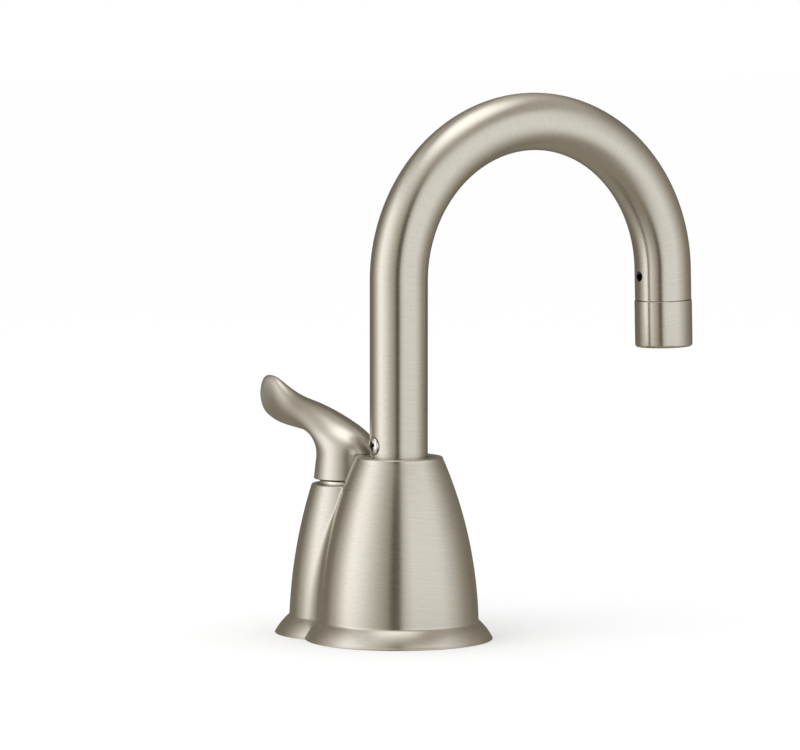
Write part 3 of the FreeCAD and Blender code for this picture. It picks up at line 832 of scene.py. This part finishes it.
def thread_tree():
    """Node tree that cuts a helical thread into the outer wall of a turned piece."""
    wall_from = 0.995
    names = ("Outer radius", "Pitch", "Depth", "Crest", "Root", "Low", "High")
    tree = bpy.data.node_groups.new("cut_thread", "GeometryNodeTree")
    tree.interface.new_socket("Blank", in_out="INPUT", socket_type="NodeSocketGeometry")
    for name in names:
        tree.interface.new_socket(name, in_out="INPUT", socket_type="NodeSocketFloat")
    tree.interface.new_socket("Finish", in_out="INPUT", socket_type="NodeSocketMaterial")
    tree.interface.new_socket("Threaded", in_out="OUTPUT", socket_type="NodeSocketGeometry")
    given = add(tree, "NodeGroupInput").outputs
    outer_r, pitch, depth, crest, root, low, high = (given[name] for name in names)

    # Height within the thread's turn, as a distance from the middle of the groove
    spot = add(tree, "ShaderNodeSeparateXYZ", {0: add(tree, "GeometryNodeInputPosition").outputs[0]})
    x, y, z = spot.outputs
    flat = add(tree, "ShaderNodeCombineXYZ", {"X": x, "Y": y}).outputs[0]
    radius = add(tree, "ShaderNodeVectorMath", {0: flat}, operation="LENGTH").outputs["Value"]
    angle = add(tree, "ShaderNodeMath", {0: y, 1: x}, operation="ARCTAN2").outputs[0]
    turn = add(tree, "ShaderNodeMath", {0: angle, 1: TURN}, operation="DIVIDE").outputs[0]
    up = add(tree, "ShaderNodeMath", {0: z, 1: low}, operation="SUBTRACT").outputs[0]
    pitches = add(tree, "ShaderNodeMath", {0: up, 1: pitch}, operation="DIVIDE").outputs[0]
    rise = add(tree, "ShaderNodeMath", {0: pitches, 1: turn}, operation="SUBTRACT").outputs[0]
    swing = add(tree, "ShaderNodeMath", {0: rise, 1: 0.5}, operation="PINGPONG").outputs[0]
    aside = add(tree, "ShaderNodeMath", {0: swing, 1: pitch}, operation="MULTIPLY").outputs[0]

    # Depth there, from the flanks' slope, running out at the thread's upper end
    open_wide = add(tree, "ShaderNodeMath", {0: pitch, 1: crest}, operation="SUBTRACT").outputs[0]
    mouth = add(tree, "ShaderNodeMath", {0: open_wide, 1: 0.5}, operation="MULTIPLY").outputs[0]
    root_half = add(tree, "ShaderNodeMath", {0: root, 1: 0.5}, operation="MULTIPLY").outputs[0]
    flank = add(tree, "ShaderNodeMath", {0: mouth, 1: root_half}, operation="SUBTRACT").outputs[0]
    inside = add(tree, "ShaderNodeMath", {0: mouth, 1: aside}, operation="SUBTRACT").outputs[0]
    slope = add(tree, "ShaderNodeMath", {0: inside, 1: flank}, operation="DIVIDE").outputs[0]
    groove = add(tree, "ShaderNodeClamp", {"Value": slope}).outputs[0]
    under = add(tree, "ShaderNodeMath", {0: high, 1: z}, operation="SUBTRACT").outputs[0]
    below = add(tree, "ShaderNodeMath", {0: under, 1: pitch}, operation="DIVIDE").outputs[0]
    ends = add(tree, "ShaderNodeClamp", {"Value": below}).outputs[0]
    faded = add(tree, "ShaderNodeMath", {0: groove, 1: ends}, operation="MULTIPLY").outputs[0]
    deep = add(tree, "ShaderNodeMath", {0: faded, 1: depth}, operation="MULTIPLY").outputs[0]

    # Points of the outer wall move inwards by that depth
    share = add(tree, "ShaderNodeMath", {0: deep, 1: radius}, operation="DIVIDE").outputs[0]
    inwards = add(tree, "ShaderNodeMath", {0: 1.0, 1: share}, operation="SUBTRACT").outputs[0]
    cut = add(tree, "ShaderNodeVectorMath", {0: flat, "Scale": inwards}, operation="SCALE").outputs[0]
    lift = add(tree, "ShaderNodeCombineXYZ", {"Z": z}).outputs[0]
    moved = add(tree, "ShaderNodeVectorMath", {0: cut, 1: lift}, operation="ADD").outputs[0]
    least = add(tree, "ShaderNodeMath", {0: outer_r, 1: wall_from}, operation="MULTIPLY").outputs[0]
    outer = add(tree, "ShaderNodeMath", {0: radius, 1: least}, operation="GREATER_THAN").outputs[0]
    threaded = add(tree, "GeometryNodeSetPosition", {"Geometry": given["Blank"], "Selection": outer,
                                                     "Position": moved})
    whole = add(tree, "GeometryNodeRealizeInstances", {"Geometry": threaded.outputs["Geometry"]})
    dressed = add(tree, "GeometryNodeSetMaterial", {"Geometry": whole.outputs["Geometry"],
                                                    "Material": given["Finish"]})
    add(tree, "NodeGroupOutput", {"Threaded": dressed.outputs["Geometry"]})
    return tree


def threaded_shank():
    """Brass shank with its thread cut below the deck and a plain end in the base."""
    bore_r = 12.6 * MM
    chamfer = 0.8 * MM
    wall_rows = 390
    wall = [(shank_r, z) for z in spread(shank_low + chamfer, shank_high, wall_rows)]
    blank = [(bore_r, shank_low), (shank_r - chamfer, shank_low)] + wall + [(bore_r, shank_high)]
    piece = turned("threaded_shank", blank, 72)
    return run_tree(piece, thread_tree(), {
        "Outer radius": shank_r, "Pitch": 1.8 * MM, "Depth": 0.8 * MM, "Crest": 0.22 * MM,
        "Root": 0.28 * MM, "Low": shank_low, "High": -1.5 * MM, "Finish": finishes["brass"]})


shank = threaded_shank()
shade(shank, 50)
finish_piece(shank, "brass", "brass", "base", "mounting_shank")


def clamp_nut():
    """Hexagon nut with its corners turned off at both faces."""
    low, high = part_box("mounting_nut")
    corner_r = high.x
    flat_r = corner_r * math.cos(math.pi / 6)
    face_r = flat_r - 0.4 * MM
    rise = (corner_r - flat_r) * math.tan(math.radians(30))
    ease = 0.2 * MM
    angles = [TURN * n / 6 for n in range(6)]
    rows = [[(corner_r * math.cos(a), corner_r * math.sin(a), z) for a in angles] for z in (low.z, high.z)]
    rows = [[(0, 0, low.z)] * 6] + rows + [[(0, 0, high.z)] * 6]
    nut = skin("clamp_nut", rows, False)
    turned_off = [(shank_r, low.z), (face_r, low.z), (corner_r, low.z + rise + ease),
                  (corner_r, high.z - rise - ease), (face_r, high.z), (shank_r, high.z)]
    carve(nut, turned("turned_off", turned_off, 120), "INTERSECT")
    tidy_mesh(nut)
    return nut


nut = clamp_nut()
shade(nut, 20)
finish_piece(nut, "brass", "brass", "base", "mounting_nut")


def pressed_washer():
    """Steel washer with edges rounded by the press."""
    low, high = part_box("deck_washer")
    inner = shank_r + 0.4 * MM
    profile = rounded([(inner, low.z, 0.4 * MM), (high.x, low.z, 0.9 * MM), (high.x, high.z, 0.3 * MM),
                       (inner, high.z, 0.3 * MM)])
    return turned("pressed_washer", profile, 120)


washer = pressed_washer()
shade(washer)
finish_piece(washer, "zinc_steel", "zinc_steel", "base", "deck_washer")

# Inner pieces keep their solids, each with its finish
slots = {part["node"]: part["material_slot"] for part in frame["record"]["subparts"]}
for name, node in frame["nodes"].items():
    if not node.hide_render:
        finish = finishes[slots[name]]
        node.data.materials.clear()
        node.data.materials.append(finish)


# Studio

# The camera stands where the photograph was taken from, seen from the main axis at deck level
camera_turn = math.radians(29.97)
camera_back = 1600 * MM
camera_aside = 0.42 * MM
camera_up = 217.4 * MM
camera_dip = 0.0779
camera_lens = 207.0
# The tent is round this point, and the lamp faces it
studio_centre = Vector((0, 0, 0.09))
tent_r = 0.5
tent_rings = 32
tent_brightest = 2.2


def studio_way(turn_deg):
    """Level direction from the tap, turned from the camera's side towards its right."""
    turn = math.radians(turn_deg) - camera_turn
    return Vector((math.sin(turn), -math.cos(turn), 0))


def plain_material(name, colour):
    """Matt material of one colour."""
    material, tree = new_material(name)
    shader = add(tree, "ShaderNodeBsdfDiffuse", {"Color": srgb(colour)})
    add(tree, "ShaderNodeOutputMaterial", {"Surface": shader.outputs["BSDF"]})
    return material


def tent_tone(level):
    """Grey of the tent at a brightness, as a share of its brightest, and warmer where it is dim."""
    warmth = max(0, 1 - level)
    share = level / tent_brightest
    return (share * (1 + 0.16 * warmth), share, share * (1 - 0.25 * warmth), 1.0)


def light_tent():
    """Round tent of soft light that only gloss shows. At the tap's level it has a bright panel on the left
    that falls off towards the camera, a dark gap at the camera and an even panel on the right, and it is
    dim behind and below. The belts lie at the tap's level, above it and overhead, and each of their stops
    is an angle from the camera's side and a brightness."""
    belts = (
        ((-180, 0.15), (-125, 0.24), (-104, 0.68), (-80, 1.58), (-62, 1.38), (-30, 0.66), (-15, 0.38),
         (-10, 0.1), (1, 0.1), (6, 0.75), (20, 1.12), (68, 1.1), (110, 0.38), (140, 0.18), (180, 0.15)),
        ((-180, 0.35), (-120, 0.5), (-90, 0.9), (-66, 0.96), (-42, 0.85), (0, 0.4), (20, 0.34), (60, 0.42),
         (130, 0.6), (180, 0.5)),
        ((-180, 2.2), (-60, 2.1), (40, 2.0), (110, 2.0), (180, 2.2)),
    )
    below_level = 0.33
    material, tree = new_material("light_tent")
    way = add(tree, "ShaderNodeVectorMath", {0: add(tree, "ShaderNodeTexCoord").outputs["Object"]},
              operation="NORMALIZE")
    x, y, rise = add(tree, "ShaderNodeSeparateXYZ", {0: way.outputs[0]}).outputs
    back = add(tree, "ShaderNodeMath", {0: y, 1: -1.0}, operation="MULTIPLY")
    turn = add(tree, "ShaderNodeMath", {0: x, 1: back.outputs[0]}, operation="ARCTAN2")
    share = add(tree, "ShaderNodeMath", {0: turn.outputs[0], 1: 1 / TURN, 2: 0.5}, operation="MULTIPLY_ADD")
    tones = []
    for belt in belts:
        band = add(tree, "ShaderNodeValToRGB", {"Fac": share.outputs[0]})
        stops = band.color_ramp.elements
        for angle, level in belt[1:-1]:
            stops.new(angle / 360 + 0.5).color = tent_tone(level)
        stops[0].color = tent_tone(belt[0][1])
        stops[len(belt) - 1].color = tent_tone(belt[-1][1])
        tones.append(band.outputs["Color"])
    # Each belt, and the dim light below, takes over between two rises from the level
    tone = tones[0]
    for after, start, end in ((tones[1], 0.6, 0.75), (tones[2], 0.88, 1.0),
                              (tent_tone(below_level), -0.15, -0.7)):
        reach = add(tree, "ShaderNodeMapRange", {"Value": rise, "From Min": start, "From Max": end},
                    interpolation_type="SMOOTHSTEP")
        mixed = add(tree, "ShaderNodeMix", {"Factor": reach.outputs["Result"], "A": tone, "B": after},
                    data_type="RGBA")
        tone = mixed.outputs["Result"]
    glow = add(tree, "ShaderNodeEmission", {"Color": tone, "Strength": tent_brightest})
    add(tree, "ShaderNodeOutputMaterial", {"Surface": glow.outputs["Emission"]})
    angles = [math.pi * n / tent_rings for n in range(tent_rings + 1)]
    half_circle = [(tent_r * math.sin(a), -tent_r * math.cos(a)) for a in angles]
    tent = turned("light_tent", half_circle, 2 * tent_rings, False)
    tent.data.shade_smooth()
    tent.data.materials.append(material)
    tent.location = studio_centre
    tent.rotation_euler = (0, 0, -camera_turn)
    tent.visible_camera = False
    tent.visible_diffuse = False
    tent.visible_shadow = False


def floor():
    """Plain pale floor that takes the tap's shadow and that gloss doesn't show."""
    half = 12.0
    corners = [(-half, -half, 0), (half, -half, 0), (half, half, 0), (-half, half, 0)]
    mesh = bpy.data.meshes.new("floor")
    mesh.from_pydata(corners, [], [(0, 1, 2, 3)])
    made = link("floor", mesh)
    mesh.materials.append(plain_material("white_floor", "#FEFEFE"))
    made.visible_glossy = False


def white_room():
    """Even white surroundings."""
    world = bpy.data.worlds.new("white_room")
    world.use_nodes = True
    tree = world.node_tree
    tree.nodes.clear()
    light = add(tree, "ShaderNodeBackground", {"Color": srgb("#FFFFFF"), "Strength": 1.0})
    add(tree, "ShaderNodeOutputWorld", {"Surface": light.outputs["Background"]})
    bpy.context.scene.world = world


def soft_box(name, turn_deg, away, up, wide, high, power):
    """Large soft lamp that faces the tap."""
    data = bpy.data.lights.new(name, "AREA")
    data.shape = "RECTANGLE"
    data.size = wide
    data.size_y = high
    data.energy = power
    lamp = link(name, data)
    lamp.location = studio_way(turn_deg) * away + Vector((0, 0, up))
    aim = studio_centre - lamp.location
    lamp.rotation_euler = aim.to_track_quat("-Z", "Y").to_euler()
    lamp.visible_camera = False
    lamp.visible_glossy = False


floor()
white_room()
light_tent()
soft_box("key_lamp", turn_deg=-58, away=0.8, up=0.7, wide=0.7, high=0.7, power=1.5)

camera = bpy.data.cameras.new("camera")
camera.lens = camera_lens
camera.sensor_width = 36.0
eye = link("camera", camera)
eye.location = studio_way(0) * camera_back + studio_way(90) * camera_aside + Vector((0, 0, camera_up))
eye.rotation_euler = (math.pi / 2 - camera_dip, 0, -camera_turn)
bpy.context.scene.camera = eye
bpy.context.scene.view_settings.view_transform = "Standard"
